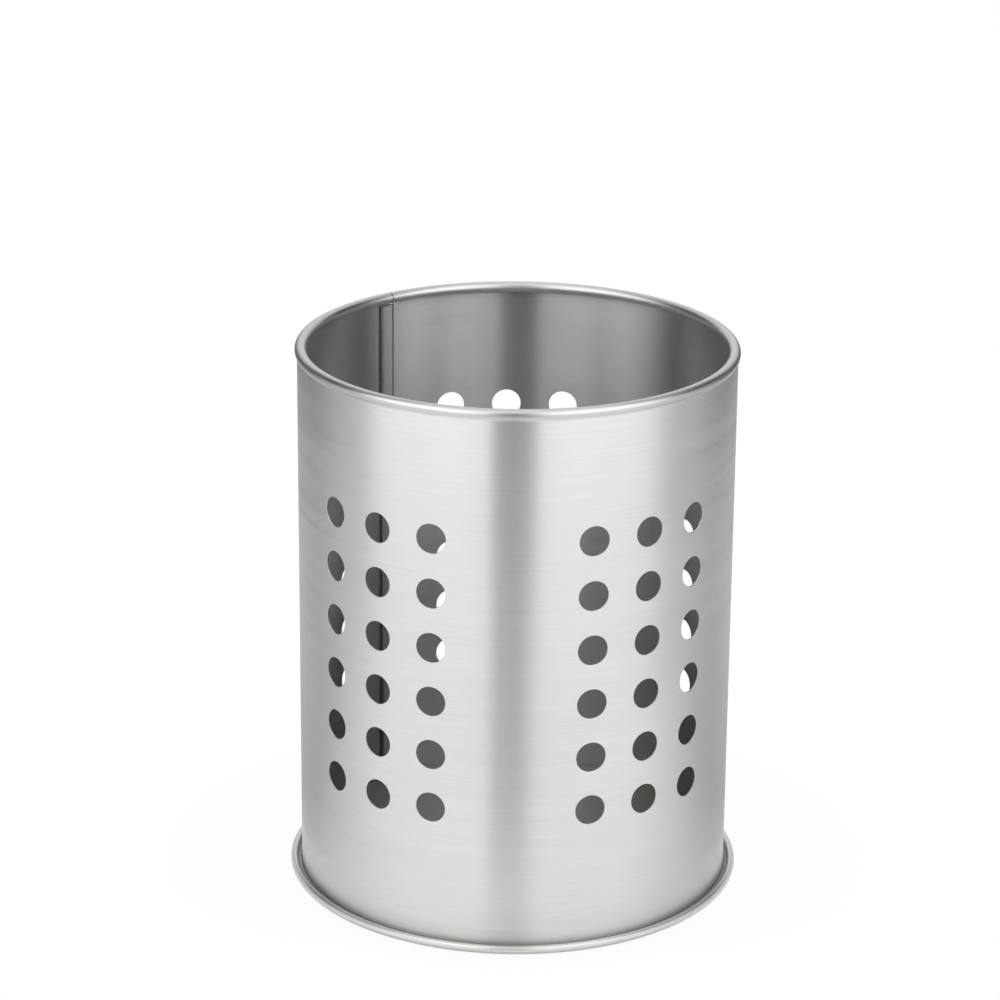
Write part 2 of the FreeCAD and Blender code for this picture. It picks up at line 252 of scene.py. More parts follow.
# %% Two wiring helpers
def graded(tree, source, start, end, low, high, smooth=False):
    """Turns values from start to end into low to high, and holds still outside that."""
    grade = tree.nodes.new("ShaderNodeMapRange")
    grade.interpolation_type = "SMOOTHSTEP" if smooth else "LINEAR"
    ends = {"From Min": start, "From Max": end, "To Min": low, "To Max": high}
    for socket, value in ends.items():
        grade.inputs[socket].default_value = value
    tree.links.new(source, grade.inputs["Value"])
    return grade.outputs["Result"]


def merged(tree, operation, one, other):
    """One value out of two."""
    merge = tree.nodes.new("ShaderNodeMath")
    merge.operation = operation
    tree.links.new(one, merge.inputs[0])
    tree.links.new(other, merge.inputs[1])
    return merge.outputs["Value"]


# %% [markdown]
# ## Steel
# Stainless sheet is bare metal, so its colour is its reflection. What makes it look
# like steel is the surface: the wall was brushed round and round, so light spreads up
# and down but stays sharp sideways. One recipe makes every finish here. Fine lines
# come from noise that is stretched many times longer round the wall than up it, and
# faint clouds of handling vary the gloss. Sampling the noise in plain space, with only
# its height sped up, leaves no join at the back as unrolling the wall would.

# %% The steel recipe
HAIRLINES_PER_METRE = 2600       # up the wall
STREAKS_PER_METRE = 420
GRAIN_PER_METRE = 45             # round the wall, so the lines are long
CLOUDS_PER_METRE = 28
NOISE_SPAN = (0.3, 0.7)          # nearly all of the noise lies in here
TINT_SPAN = (0.93, 1.04)         # colour between the hairlines and on them
HAIRLINE_SPAN, STREAK_SPAN = (0.55, 1.0), (0.85, 1.0)
GLOSS_SPAN, CLOUD_SPAN = (0.9, 1.08), (0.93, 1.07)
BUMP_STRENGTH = 0.6
ACROSS_THE_GRAIN = 0.25          # a quarter turn from the tangent


def noise(tree, across, along, detail):
    """Noise that changes this often per metre up the wall and round it."""
    place = tree.nodes.new("ShaderNodeTexCoord")
    stretch = tree.nodes.new("ShaderNodeMapping")
    stretch.inputs["Scale"].default_value = (along, along, across)
    pattern = tree.nodes.new("ShaderNodeTexNoise")
    pattern.inputs["Scale"].default_value = 1.0
    pattern.inputs["Detail"].default_value = detail
    tree.links.new(place.outputs["Object"], stretch.inputs["Vector"])
    tree.links.new(stretch.outputs["Vector"], pattern.inputs["Vector"])
    return pattern.outputs["Fac"]


def steel(name, colour, roughness, spread, grain):
    """Bare steel. spread is how far the brushing stretches the gloss, grain its depth in mm."""
    material = bpy.data.materials.new(name)
    material.use_nodes = True
    tree = material.node_tree
    nodes, links = tree.nodes, tree.links
    shader = nodes["Principled BSDF"]
    shader.inputs["Metallic"].default_value = 1.0
    shader.inputs["Anisotropic"].default_value = spread
    shader.inputs["Anisotropic Rotation"].default_value = ACROSS_THE_GRAIN

    hairlines = noise(tree, HAIRLINES_PER_METRE, GRAIN_PER_METRE, 2.0)
    streaks = noise(tree, STREAKS_PER_METRE, GRAIN_PER_METRE / 2, 3.0)
    clouds = noise(tree, CLOUDS_PER_METRE, CLOUDS_PER_METRE, 2.0)

    tint = nodes.new("ShaderNodeMix")
    tint.data_type = "RGBA"
    for socket, share in zip("AB", TINT_SPAN):
        tint.inputs[socket].default_value = (*[min(share * c, 1.0) for c in colour], 1)
    lines = merged(tree, "MULTIPLY", graded(tree, hairlines, *NOISE_SPAN, *HAIRLINE_SPAN),
                   graded(tree, streaks, *NOISE_SPAN, *STREAK_SPAN))
    links.new(lines, tint.inputs["Factor"])
    links.new(tint.outputs["Result"], shader.inputs["Base Color"])

    gloss = graded(tree, streaks, *NOISE_SPAN, *[share * roughness for share in GLOSS_SPAN])
    handled = graded(tree, clouds, *NOISE_SPAN, *CLOUD_SPAN)
    links.new(merged(tree, "MULTIPLY", gloss, handled), shader.inputs["Roughness"])

    bump = nodes.new("ShaderNodeBump")
    bump.inputs["Distance"].default_value = grain * MM
    bump.inputs["Strength"].default_value = BUMP_STRENGTH
    links.new(hairlines, bump.inputs["Height"])
    links.new(bump.outputs["Normal"], shader.inputs["Normal"])

    around = nodes.new("ShaderNodeTangent")
    around.direction_type, around.axis = "RADIAL", "Z"
    links.new(around.outputs["Tangent"], shader.inputs["Tangent"])
    print(f"{name}: roughness about {roughness}, stretched {spread}")
    return material


# %% [markdown]
# ## The finishes
# One sheet can carry many finishes. The wall keeps the mill's brushing outside. Inside, the
# steel is painted darker, which stands in for the shade within the tube. Curling burnishes the
# rim and the foot and wears the lines away, so their gloss is stretched less, and the rim's colour
# is painted darker than the wall's to tone down its highlights. Folds and the groove of the base
# seam are dull, and painted dark for the shade in them. A punched edge is torn rather than
# brushed. The same recipe with other numbers gives each of them.

# %% Finishes of this holder
# name, colour, roughness, stretch of the gloss, depth of the grain in mm
brushed = steel("brushed_outside", (0.8, 0.786, 0.767), 0.34, 1.0, 0.004)
# painted shade: the inside is the wall's steel made darker, for the shade within the tube
inside = steel("brushed_inside_painted_shade", (0.6, 0.587, 0.573), 0.37, 1.0, 0.002)
# painted shade: bends, folds and the groove of the base seam are made darker than the wall for the
# shade in them; their rougher, less stretched gloss is their own
dull_and_shaded = steel("dull_bends_painted_shade", (0.5, 0.49, 0.48), 0.45, 0.3, 0.002)
curled = steel("curled_foot", (0.78, 0.77, 0.76), 0.28, 0.5, 0.002)
# painted shade: the rim's colour is set darker than the wall's to tone down its highlights; its
# less stretched gloss comes from the burnishing
burnished_and_shaded = steel("burnished_rim_painted_shade", (0.65, 0.641, 0.632), 0.35, 0.5, 0.002)
cut_edge = steel("punched_edge", (0.62, 0.61, 0.6), 0.38, 0.2, 0.002)
satin = steel("satin_base", (0.6, 0.587, 0.57), 0.4, 0.6, 0.003)

# %% [markdown]
# ## The wall, cut and punched
# The sheet is laid out as a grid: columns run up the wall and rows run round it. Where
# a hole comes, eight by eight faces are left out, and rings of faces lead from that
# square to the hole's edge. A boolean cut would give the same hole but long thin
# triangles round it, and those spoil a polished surface.

# %% Sizes of the holes and the lock seam
HOLE = 4.0 * MM                  # radius of a punched hole
HOLE_ROWS, HOLE_COLUMNS, HOLE_GROUPS = 6, 3, 5
ROW_PITCH = 14.67 * MM
BOTTOM_ROW = 38.5 * MM
COLUMN_PITCH = 15.86             # degrees
FIRST_GROUP, LAST_GROUP = 30.8, 35.1   # degrees from the lock seam on either side
CELL = 8                         # faces along each side of a hole's square

LOCK_TURN = math.radians(128.8)
LOCK_SLIT = 0.2 * MM             # between the sheet's two ends at rim and foot
LOCK_END_GAP = 0.35 * MM         # the hooks stop this far from rim and base
LOCK_LOW = PANEL_HEIGHT + SHEET + LOCK_END_GAP
LOCK_HIGH = TOP - 2 * BEAD - LOCK_END_GAP
print(f"lock seam from {LOCK_LOW / MM:.2f} to {LOCK_HIGH / MM:.2f} mm above the table")

# %% [markdown]
# ## The wall's section
# From the flange in the base seam up to the lip of the rim, the wall is one line of runs and
# bends. The neck under the rim has to meet both the wall and the bead without a kink, so its
# place follows from the two circles that touch. The upright run gets a row wherever the holes
# or the lock seam need one.

# %% Rows of the wall's section
neck_out = WALL_FACE + NECK - BEAD_MIDDLE[0]
neck_drop = math.sqrt((BEAD + NECK) ** 2 - neck_out ** 2)
NECK_MIDDLE = (WALL_FACE + NECK, BEAD_MIDDLE[1] - neck_drop)
NECK_LEAN = math.degrees(math.atan2(neck_drop, neck_out))
curl_end = 270 + math.degrees(math.asin(CURL_TUCK / BEAD))
FLANGE_STEPS, HEEL_STEPS, NECK_STEPS, BEAD_STEPS = 8, 6, 6, 30
FOOT_STEPS, PLAIN_STEPS = 2, 4   # rows below the lock seam, and above and below the holes


def spaced(low, high, steps):
    """Values after low, up to and including high."""
    return list(np.linspace(low, high, steps + 1)[1:])


band_low = BOTTOM_ROW - ROW_PITCH / 2
band_high = band_low + HOLE_ROWS * ROW_PITCH
levels = [HEEL_MIDDLE[1]]
levels += spaced(HEEL_MIDDLE[1], LOCK_LOW - LOCK_SLIT, FOOT_STEPS) + [LOCK_LOW]
levels += spaced(LOCK_LOW, band_low, PLAIN_STEPS)
levels += spaced(band_low, band_high, HOLE_ROWS * CELL)
levels += spaced(band_high, LOCK_HIGH, PLAIN_STEPS)
levels += [LOCK_HIGH + LOCK_SLIT, NECK_MIDDLE[1]]
upright = [(np.array((WALL_FACE, level)), np.array((1.0, 0.0))) for level in levels]

flange = joined(
    bend(SEAM_MIDDLE, FLANGE_BEND, 90, -90, FLANGE_STEPS),
    run((SEAM_MIDDLE[0], FLANGE_TOP), (HEEL_MIDDLE[0], FLANGE_TOP)),
    bend(HEEL_MIDDLE, HEEL_BEND, 270, 180, HEEL_STEPS))
rim = joined(
    bend(NECK_MIDDLE, NECK, 180, 180 - NECK_LEAN, NECK_STEPS),
    bend(BEAD_MIDDLE, BEAD, -NECK_LEAN, curl_end, BEAD_STEPS))
wall_line = joined(flange, upright, rim)
heel_row = len(flange) - 1


def row_at(level):
    """The row of the section at this height of the upright run."""
    return heel_row + int(np.argmin(np.abs(np.array(levels) - level)))


print(len(wall_line), "rows from the flange to the lip of the rim")

# %% [markdown]
# ## Columns
# Going round from the lock seam, the columns stand close together where holes come and further
# apart on the plain wall between the groups. Even columns would be simpler, but then a hole's
# square would not end on a column, and the faces round it would be skewed.

# %% Columns round the wall
PLAIN_TURN = 1.94                # degrees between columns on the plain wall
LEAST_STEPS = 3
SEAM_SIDE_STEPS = 8              # columns from the last group to the lock seam
LOCK_PLAY = 0.05 * MM
LAYER = SHEET + LOCK_PLAY        # one layer of the lock seam
JOGGLE_ROOM = 5 * LAYER          # the second end starts to step inward this far from the first
joggle_turn = math.degrees(math.asin(JOGGLE_ROOM / WALL_FACE))
slit_turn = math.degrees(LOCK_SLIT / WALL_FACE)
group_pitch = (360 - FIRST_GROUP - LAST_GROUP) / (HOLE_GROUPS - 1)
half_group = COLUMN_PITCH * HOLE_COLUMNS / 2

turns = [0.0]
group_columns = []
for group in range(HOLE_GROUPS):
    left = FIRST_GROUP + group * group_pitch - half_group
    turns += spaced(turns[-1], left, max(LEAST_STEPS, round((left - turns[-1]) / PLAIN_TURN)))
    group_columns.append(len(turns) - 1)
    turns += spaced(left, left + 2 * half_group, HOLE_COLUMNS * CELL)
turns += spaced(turns[-1], 360 - joggle_turn, SEAM_SIDE_STEPS) + [360 - slit_turn]
print(len(turns), "columns,", HOLE_GROUPS * HOLE_COLUMNS * HOLE_ROWS, "holes")

# %% [markdown]
# ## Rolling the sheet
# Every row of the section is carried round the axis to every column, and neighbours are joined
# by faces. The squares of the holes stay open, and so does the narrow strip that the lock seam
# takes up. Each row knows its finish: dull and painted dark as shade where the flange hides in
# the base seam, brushed up the wall and the neck with the inside painted darker as shade, and
# the burnishing of the curl round the bead, its colour painted darker to tone down the highlights.

# %% Lay out the plain sheet
def on_circle(turn, point, facing):
    """Point and normal of a section carried round the axis to a turn in degrees."""
    angle = LOCK_TURN + math.radians(turn)
    spoke = np.array((math.cos(angle), math.sin(angle), 0.0))
    lift = np.array((0.0, 0.0, 1.0))
    return spoke * point[0] + lift * point[1], spoke * facing[0] + lift * facing[1]


def rolled_point(sheet, turn, point, facing):
    front, normal = on_circle(turn, point, facing)
    return sheet.point(front, front - normal * SHEET, normal)


wall = Sheet()
main = [[rolled_point(wall, turn, *row) for row in wall_line] for turn in turns]

bead_row = row_at(NECK_MIDDLE[1]) + NECK_STEPS
notch = range(row_at(LOCK_LOW - LOCK_SLIT), row_at(LOCK_HIGH + LOCK_SLIT))
band = range(row_at(band_low), row_at(band_high))
punched_columns = {start + i for start in group_columns for i in range(HOLE_COLUMNS * CELL)}
OUTSIDE, INSIDE_SHADED, RIM, EDGE, DULL_SHADED = range(5)


def wall_finish(row):
    """Finishes of a row's front and back."""
    if row < heel_row:
        return DULL_SHADED, DULL_SHADED
    return (OUTSIDE, INSIDE_SHADED) if row < bead_row else (RIM, RIM)


for column in range(len(turns) - 1):
    for row in range(len(wall_line) - 1):
        if column == len(turns) - 2 and row in notch:
            continue
        if column in punched_columns and row in band:
            continue
        near, far = main[column], main[column + 1]
        wall.quad((near[row], far[row], far[row + 1], near[row + 1]), wall_finish(row))
print(len(wall.quads), "faces before punching")

# %% [markdown]
# ## The holes
# A punch pushes the sheet before it cuts, so the edge of a real hole is a little
# rounded and catches a thin line of light. The rounding here is a tenth of a
# millimetre, in three steps, on both faces. The punch goes straight in, so the hole
# is a true circle seen along its own axis, and not a circle bent with the wall.

# %% Punch the holes
ROUNDING = 0.1 * MM
ROUNDING_STEPS = 3
LAND = 1.1 * MM                  # ring of even faces round the hole


def punch(sheet, first_column, first_row, turn, height):
    """Fills one square of the grid with rings round a hole."""
    angle = LOCK_TURN + math.radians(turn)
    axis = np.array((math.cos(angle), math.sin(angle), 0.0))
    aside = np.array((-axis[1], axis[0], 0.0))
    lift = np.array((0.0, 0.0, 1.0))

    def at(radius, direction, depth):
        """Point and wall normal at a distance from the hole's axis, that deep in the sheet."""
        across, up = radius * direction
        reach = WALL_FACE - depth
        point = axis * math.sqrt(reach ** 2 - across ** 2) + aside * across
        return point + lift * (height + up), point / reach

    columns = range(first_column, first_column + CELL)
    rows = range(first_row, first_row + CELL)
    border = [main[c][rows[0]] for c in columns]
    border += [main[columns[-1] + 1][r] for r in rows]
    border += [main[c + 1][rows[-1] + 1] for c in reversed(columns)]
    border += [main[columns[0]][r + 1] for r in reversed(rows)]

    directions = []
    for index in border:
        offset = sheet.front[index]
        flat = np.array((offset @ aside, offset[2] - height))
        directions.append(flat / np.linalg.norm(flat))

    rings = [border]
    for radius in (HOLE + LAND, HOLE + ROUNDING):
        ring = []
        for direction in directions:
            front, normal = at(radius, direction, 0.0)
            ring.append(sheet.point(front, at(radius, direction, SHEET)[0], normal))
        rings.append(ring)
    around = range(len(border))
    for outer, inner in zip(rings, rings[1:]):
        for k in around:
            after = (k + 1) % len(border)
            sheet.quad((outer[k], outer[after], inner[after], inner[k]), (OUTSIDE, INSIDE_SHADED))
    edge = rings[-1]
    sheet.hole_edges |= {(edge[(k + 1) % len(edge)], edge[k]) for k in around}
    sheet.holes.append((edge, directions, at, aside))


for group, start in enumerate(group_columns):
    for number in range(HOLE_COLUMNS):
        turn = FIRST_GROUP + group * group_pitch + (number - (HOLE_COLUMNS - 1) / 2) * COLUMN_PITCH
        for level in range(HOLE_ROWS):
            punch(wall, start + number * CELL, band[0] + level * CELL, turn,
                  BOTTOM_ROW + level * ROW_PITCH)
print(len(wall.holes), "holes punched")


# %% Round the holes' edges
def round_hole_edges(sheet):
    """Rounded edge and cut face of every hole, from the front skin to the back."""
    behind = len(sheet.front)
    quarter = [math.pi / 2 * i / ROUNDING_STEPS for i in range(1, ROUNDING_STEPS + 1)]
    profile = [(1 - math.sin(a), ROUNDING * (1 - math.cos(a)), math.cos(a)) for a in quarter]
    profile += [(out, SHEET - depth, -lean) for out, depth, lean in reversed(profile)]
    for edge, directions, at, aside in sheet.holes:
        around = []
        for index, direction in zip(edge, directions):
            inward = -(aside * direction[0] + np.array((0.0, 0.0, direction[1])))
            steps = [(index, sheet.facing[index])]
            for out, depth, lean in profile:
                point, normal = at(HOLE + ROUNDING * out, direction, depth)
                sheet.extra_points.append(point)
                number = 2 * behind + len(sheet.extra_points) - 1
                steps.append((number, normal * lean + inward * math.sqrt(1 - lean ** 2)))
            steps.append((index + behind, -sheet.facing[index]))
            around.append(steps)
        for this, following in zip(around, around[1:] + around[:1]):
            for depth in range(len(this) - 1):
                corners = (this[depth], following[depth], following[depth + 1], this[depth + 1])
                sheet.extra_faces.append((tuple(c[0] for c in corners), [c[1] for c in corners]))


print(f"edges get a rounding of {ROUNDING / MM:.1f} mm once the whole wall is laid out")

# %% [markdown]
# ## The lock seam
# The ends of the rolled sheet are not welded. One end folds inward and runs back as a
# hook. The other end steps inward round that fold, covers the hook, and tucks its own
# hook into it. Hammered flat, they hold each other. From outside only a fine line
# shows, and inside a raised strip runs from base to rim, with dull bends on both sides
# that are painted dark as shade.
# The plan view of each end is again a line of bends, carried straight up. A strip laid
# on the wall would look much the same, but it would not be the way the wall is held.

# %% Plan of the two hooked ends
LOCK_HOOK = 2.2 * MM
HOOK_STEPS, TURN_STEPS = 4, 10   # of the first end
LEAD_STEPS, JOGGLE_STEPS, COVER_STEPS, FOLD_STEPS, TONGUE_STEPS = 2, 6, 4, 8, 4


def first_end():
    """From the tip of the hook along the inside and round the fold to the wall's face."""
    fold = LAYER + SHEET / 2
    face = WALL_FACE - 2 * LAYER - SHEET
    reach = math.degrees(math.asin(LOCK_HOOK / face))
    return joined(bend((0, 0), face, reach, 0, HOOK_STEPS),
                  bend((WALL_FACE - fold, 0), fold, -180, 0, TURN_STEPS))


def second_end():
    """From the wall's face in through the joggle, over the hook, and back into it."""
    cover = WALL_FACE - 3 * LAYER
    near, far = 2 * LAYER - SHEET / 2, 2 * LAYER + SHEET / 2
    near_reach, far_reach = cover + near, WALL_FACE - far
    cosine = (near_reach ** 2 + far_reach ** 2 - (near + far) ** 2) / (2 * near_reach * far_reach)
    leave = math.acos(cosine)
    far_middle = (far_reach * math.cos(leave), -far_reach * math.sin(leave))
    lean = math.degrees(math.atan2(far_middle[1], far_middle[0] - near_reach))
    back = math.asin((LOCK_HOOK + 2 * LOCK_PLAY) / cover)
    inner_fold = LAYER - SHEET / 2
    fold_reach = cover + inner_fold
    fold_middle = (fold_reach * math.cos(back), fold_reach * math.sin(back))
    tongue = cover + 2 * inner_fold
    tip = math.degrees(math.asin(2 * LOCK_PLAY / tongue))
    leave, back = math.degrees(leave), math.degrees(back)
    return joined(
        bend((0, 0), WALL_FACE, -joggle_turn, -leave, LEAD_STEPS),
        bend(far_middle, far, -leave, 180 + lean, JOGGLE_STEPS),
        bend((near_reach, 0), near, lean, -180, JOGGLE_STEPS),
        bend((0, 0), cover, 0, back, COVER_STEPS),
        bend(fold_middle, inner_fold, back - 180, back - 360, FOLD_STEPS),
        bend((0, 0), tongue, back, tip, TONGUE_STEPS))


print("plan of the ends:", len(first_end()), "and", len(second_end()), "points")


# %% Stand the two ends up and hook them
def upright_column(sheet, point, facing):
    """A column of points up the lock seam over one point of the plan."""
    cosine, sine = math.cos(LOCK_TURN), math.sin(LOCK_TURN)
    turned = np.array(((cosine, -sine), (sine, cosine)))
    (x, y), normal = turned @ point, np.append(turned @ facing, 0.0)
    column = []
    for row in lock_rows:
        front = np.array((x, y, wall_line[row][0][1]))
        column.append(sheet.point(front, front - normal * SHEET, normal))
    return column


lock_rows = range(row_at(LOCK_LOW), row_at(LOCK_HIGH) + 1)
start_column = [main[0][row] for row in lock_rows]
last_column = [main[-2][row] for row in lock_rows]
hook_columns = [upright_column(wall, *step) for step in first_end()[:-1]]
wall.strips(hook_columns + [start_column], (OUTSIDE, INSIDE_SHADED))
cover_columns = [last_column] + [upright_column(wall, *step) for step in second_end()[1:]]
first = 0
# The joggle and the fold take the dull bends, painted dark as the shade in the seam's creases.
for steps, inner in ((LEAD_STEPS, INSIDE_SHADED), (2 * JOGGLE_STEPS, DULL_SHADED), (COVER_STEPS, INSIDE_SHADED),
                     (FOLD_STEPS, DULL_SHADED), (TONGUE_STEPS, INSIDE_SHADED)):
    wall.strips(cover_columns[first:first + steps + 1], (OUTSIDE, inner))
    first += steps
print("lock seam of", len(hook_columns) + len(cover_columns), "columns")

# %% Close the wall
round_hole_edges(wall)
wall_piece = close(wall, "wall_sheet", [brushed, inside, burnished_and_shaded, cut_edge, dull_and_shaded], EDGE)

# %% [markdown]
# ## The base
# The base is one pressed disc: a raised panel, a collar that stands inside the foot
# of the wall, a flat ring to stand on, and the edge curled over the wall's flange. It
# is round all the way, so its section is simply carried round the axis. Blender's spin
# tool could do that too, but it would lose the finishes and the exact normals.

# %% Section of the base
BASE_COLUMNS = 192
CURL_STEPS, FOOT_BEND_STEPS, PANEL_BEND_STEPS, PANEL_RINGS = 32, 8, 8, 10
PANEL_MIDDLE = 2 * MM            # radius of the small fan of faces in the middle
lip = 180 + math.degrees(math.asin((SEAM - FLANGE_TOP - LIP_GAP) / SEAM))
corner = (COLLAR_FACE - PANEL_BEND, PANEL_HEIGHT - PANEL_BEND)
curled_edge = joined(
    bend(SEAM_MIDDLE, SEAM, lip, -90, CURL_STEPS),
    run((SEAM_MIDDLE[0], 0), (HEEL_MIDDLE[0], 0)),
    bend(HEEL_MIDDLE, HEEL_MIDDLE[1], 270, 180, FOOT_BEND_STEPS))
panel_edge = joined(
    run((COLLAR_FACE, HEEL_MIDDLE[1]), (COLLAR_FACE, corner[1])),
    bend(corner, PANEL_BEND, 0, 90, PANEL_BEND_STEPS),
    run((corner[0], PANEL_HEIGHT), (PANEL_MIDDLE, PANEL_HEIGHT), PANEL_RINGS))
base_line = [(point, -facing) for point, facing in joined(curled_edge, panel_edge)]
print(len(base_line), "rows from the lip of the seam to the middle of the panel")

# %% Carry the base's section round
base = Sheet()
CURL, PANEL, BASE_EDGE, GROOVE_SHADED = range(4)
# The groove rows are painted dark as shade, for the narrow gap between the curl and the wall.
GROOVE_ROWS = 9                  # rows of the curl that look at the wall


def base_finish(row):
    """Finishes of a row's front and back."""
    if row < GROOVE_ROWS:
        return GROOVE_SHADED, GROOVE_SHADED
    return (CURL, CURL) if row < len(curled_edge) - 1 else (PANEL, PANEL)


spokes = [[rolled_point(base, 360 * i / BASE_COLUMNS, *row) for row in base_line]
          for i in range(BASE_COLUMNS)]
for near, far in zip(spokes, spokes[1:] + spokes[:1]):
    for row in range(len(base_line) - 1):
        base.quad((near[row], near[row + 1], far[row + 1], far[row]), base_finish(row))
centre = rolled_point(base, 0, np.array((0.0, PANEL_HEIGHT)), np.array((0.0, -1.0)))
for near, far in zip(spokes, spokes[1:] + spokes[:1]):
    base.quad((near[-1], centre, far[-1]), (PANEL, PANEL))
base_piece = close(base, "base_pan", [curled, satin, cut_edge, dull_and_shaded], BASE_EDGE)

# %% [markdown]
# ## Tie the pieces to the measured model
# Nothing on this holder moves. Each finished piece rides on the model's only body and
# stands for the plain solid that it was measured on.

# %% Ride and replace
for piece, node in ((wall_piece, "wall"), (base_piece, "base")):
    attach(piece, "root")
    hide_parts(node)
    print(piece.name, "stands for", node)

# %% [markdown]
# ## The floor
# The holder stands on white paper that runs out of the picture on all sides. To the camera
# the paper is plain white with the faint shadow at the foot, partly cast and partly painted, so
# it glows a little for the camera alone. The metal sees shade painted into the paper's colour: a
# painted shadow close in front of the foot, darker painted shade behind the holder, and darkest
# in the strip before the lens. Smooth ramps of distance paint that shade. Real screens would do
# it too, but they leave edges in the steel.

# %% White floor
FLOOR_HALF = 6.0
CONTACT_RADII = (0.06, 0.10)     # the shadow at the foot fades between these
CONTACT_WHITE = 0.9              # share of glowing white at the foot
FRONT_RADII, FRONT_DEPTHS = (0.062, 0.07), (-0.05, -0.01)
FRONT_SHADE = 0.74               # close in front of the foot
BACK_RADII, BACK_DEPTHS = (0.068, 0.085), (-0.06, 0.02)
BACK_SHADES = (0.97, 0.5)        # outside that region, and in it
LENS_DEPTHS, LENS_LEFT, LENS_RIGHT = (-0.13, -0.10), (-0.024, -0.020), (0.010, 0.016)
LENS_SHADE = 0.38                # in the strip before the lens


def plain_object(name, points, faces):
    """A mesh of the studio, which isn't part of the holder."""
    mesh = bpy.data.meshes.new(name)
    mesh.from_pydata(points, [], faces)
    item = bpy.data.objects.new(name, mesh)
    bpy.context.scene.collection.objects.link(item)
    return item


def floor_shade(tree, away, width, depth):
    """The paper's painted shade by its distance from the axis, and by where it lies."""
    front = merged(tree, "MAXIMUM", graded(tree, away, *FRONT_RADII, 0, 1),
                   graded(tree, depth, *FRONT_DEPTHS, 0, 1))
    back = merged(tree, "MINIMUM", graded(tree, away, *BACK_RADII, 0, 1),
                  graded(tree, depth, *BACK_DEPTHS, 0, 1))
    beside_lens = merged(tree, "MAXIMUM", graded(tree, width, *LENS_LEFT, 1, 0),
                         graded(tree, width, *LENS_RIGHT, 0, 1))
    lens = merged(tree, "MAXIMUM", graded(tree, depth, *LENS_DEPTHS, 0, 1), beside_lens)
    shade = merged(tree, "MULTIPLY", graded(tree, front, 0, 1, FRONT_SHADE, 1.0),
                   graded(tree, back, 0, 1, *BACK_SHADES))
    return merged(tree, "MULTIPLY", shade, graded(tree, lens, 0, 1, LENS_SHADE, 1.0))


def add_floor():
    half = FLOOR_HALF
    corners = [(-half, -half, 0), (half, -half, 0), (half, half, 0), (-half, half, 0)]
    floor = plain_object("floor", corners, [(0, 1, 2, 3)])
    paper = bpy.data.materials.new("white_floor")
    paper.use_nodes = True
    tree = paper.node_tree
    nodes, links = tree.nodes, tree.links
    place = nodes.new("ShaderNodeTexCoord").outputs["Object"]
    reach = nodes.new("ShaderNodeVectorMath")
    reach.operation = "LENGTH"
    links.new(place, reach.inputs[0])
    away = reach.outputs["Value"]
    split = nodes.new("ShaderNodeSeparateXYZ")
    links.new(place, split.inputs["Vector"])

    lit = nodes["Principled BSDF"]
    lit.inputs["Roughness"].default_value = 0.9
    lit.inputs["Specular IOR Level"].default_value = 0.0
    shade = floor_shade(tree, away, split.outputs["X"], split.outputs["Y"])
    links.new(shade, lit.inputs["Base Color"])
    glowing = nodes.new("ShaderNodeEmission")
    bleach = graded(tree, away, *CONTACT_RADII, CONTACT_WHITE, 1.0)
    seen = nodes.new("ShaderNodeLightPath").outputs["Is Camera Ray"]
    mixed = nodes.new("ShaderNodeMixShader")
    links.new(merged(tree, "MULTIPLY", bleach, seen), mixed.inputs["Fac"])
    links.new(lit.outputs["BSDF"], mixed.inputs[1])
    links.new(glowing.outputs["Emission"], mixed.inputs[2])
    links.new(mixed.outputs["Shader"], nodes["Material Output"].inputs["Surface"])
    floor.data.materials.append(paper)


add_floor()
print(f"white floor, {2 * FLOOR_HALF:.0f} m square")

# %% [markdown]
# ## The tent
# Bare metal shows its surroundings, so the surroundings are designed. Two rings of cloth
# hang round the holder. The low one is close, and the outside of the wall mirrors it. The
# high one is wide, and the rim and the inside mirror that. Both are bright on either side
# of the lens, dark in the gap for the lens, and fall into shade towards the back. That
# draws the dark band down the front and the soft grey at the edges. A photographer would
# pin up white and black card. Here a ramp round each ring does it, and only reflections
# see the cloth.

# %% Light on the cloth
# degrees from the lens to either side, light in the lower and in the upper part of the ring
WALL_SIDES = [
    (58, 0.93, 1.0), (64, 0.9, 0.95), (70, 0.8, 0.75), (76, 0.75, 0.68), (83, 0.71, 0.65),
    (91, 0.68, 0.58), (98, 0.61, 0.42), (107, 0.59, 0.23), (118, 0.6, 0.1), (130, 0.64, 0.08),
    (142, 0.64, 0.15), (152, 0.7, 0.4), (160, 0.8, 0.65), (180, 0.8, 0.75)]
WALL_GAP = [(-11.8, 0.93, 1.0), (-9.1, 0.66, 0.25), (6.5, 0.66, 0.25), (13, 0.93, 1.0)]
MOUTH_SIDES = [
    (24, 1.8, 1.6), (30, 2.1, 1.6), (40, 2.1, 1.6), (47, 1.8, 1.5), (60, 2.0, 1.5),
    (75, 1.7, 1.4), (82, 1.2, 1.2), (88, 0.45, 0.7), (94, 0.05, 0.4), (130, 0.03, 0.3),
    (138, 0.25, 0.5), (144, 0.7, 0.7), (165, 0.85, 0.85), (180, 0.9, 0.9)]
MOUTH_GAP = [(-12.5, 1.7, 1.3), (-10.8, 0.03, 0.6), (9.8, 0.03, 0.6), (12, 1.7, 1.3)]


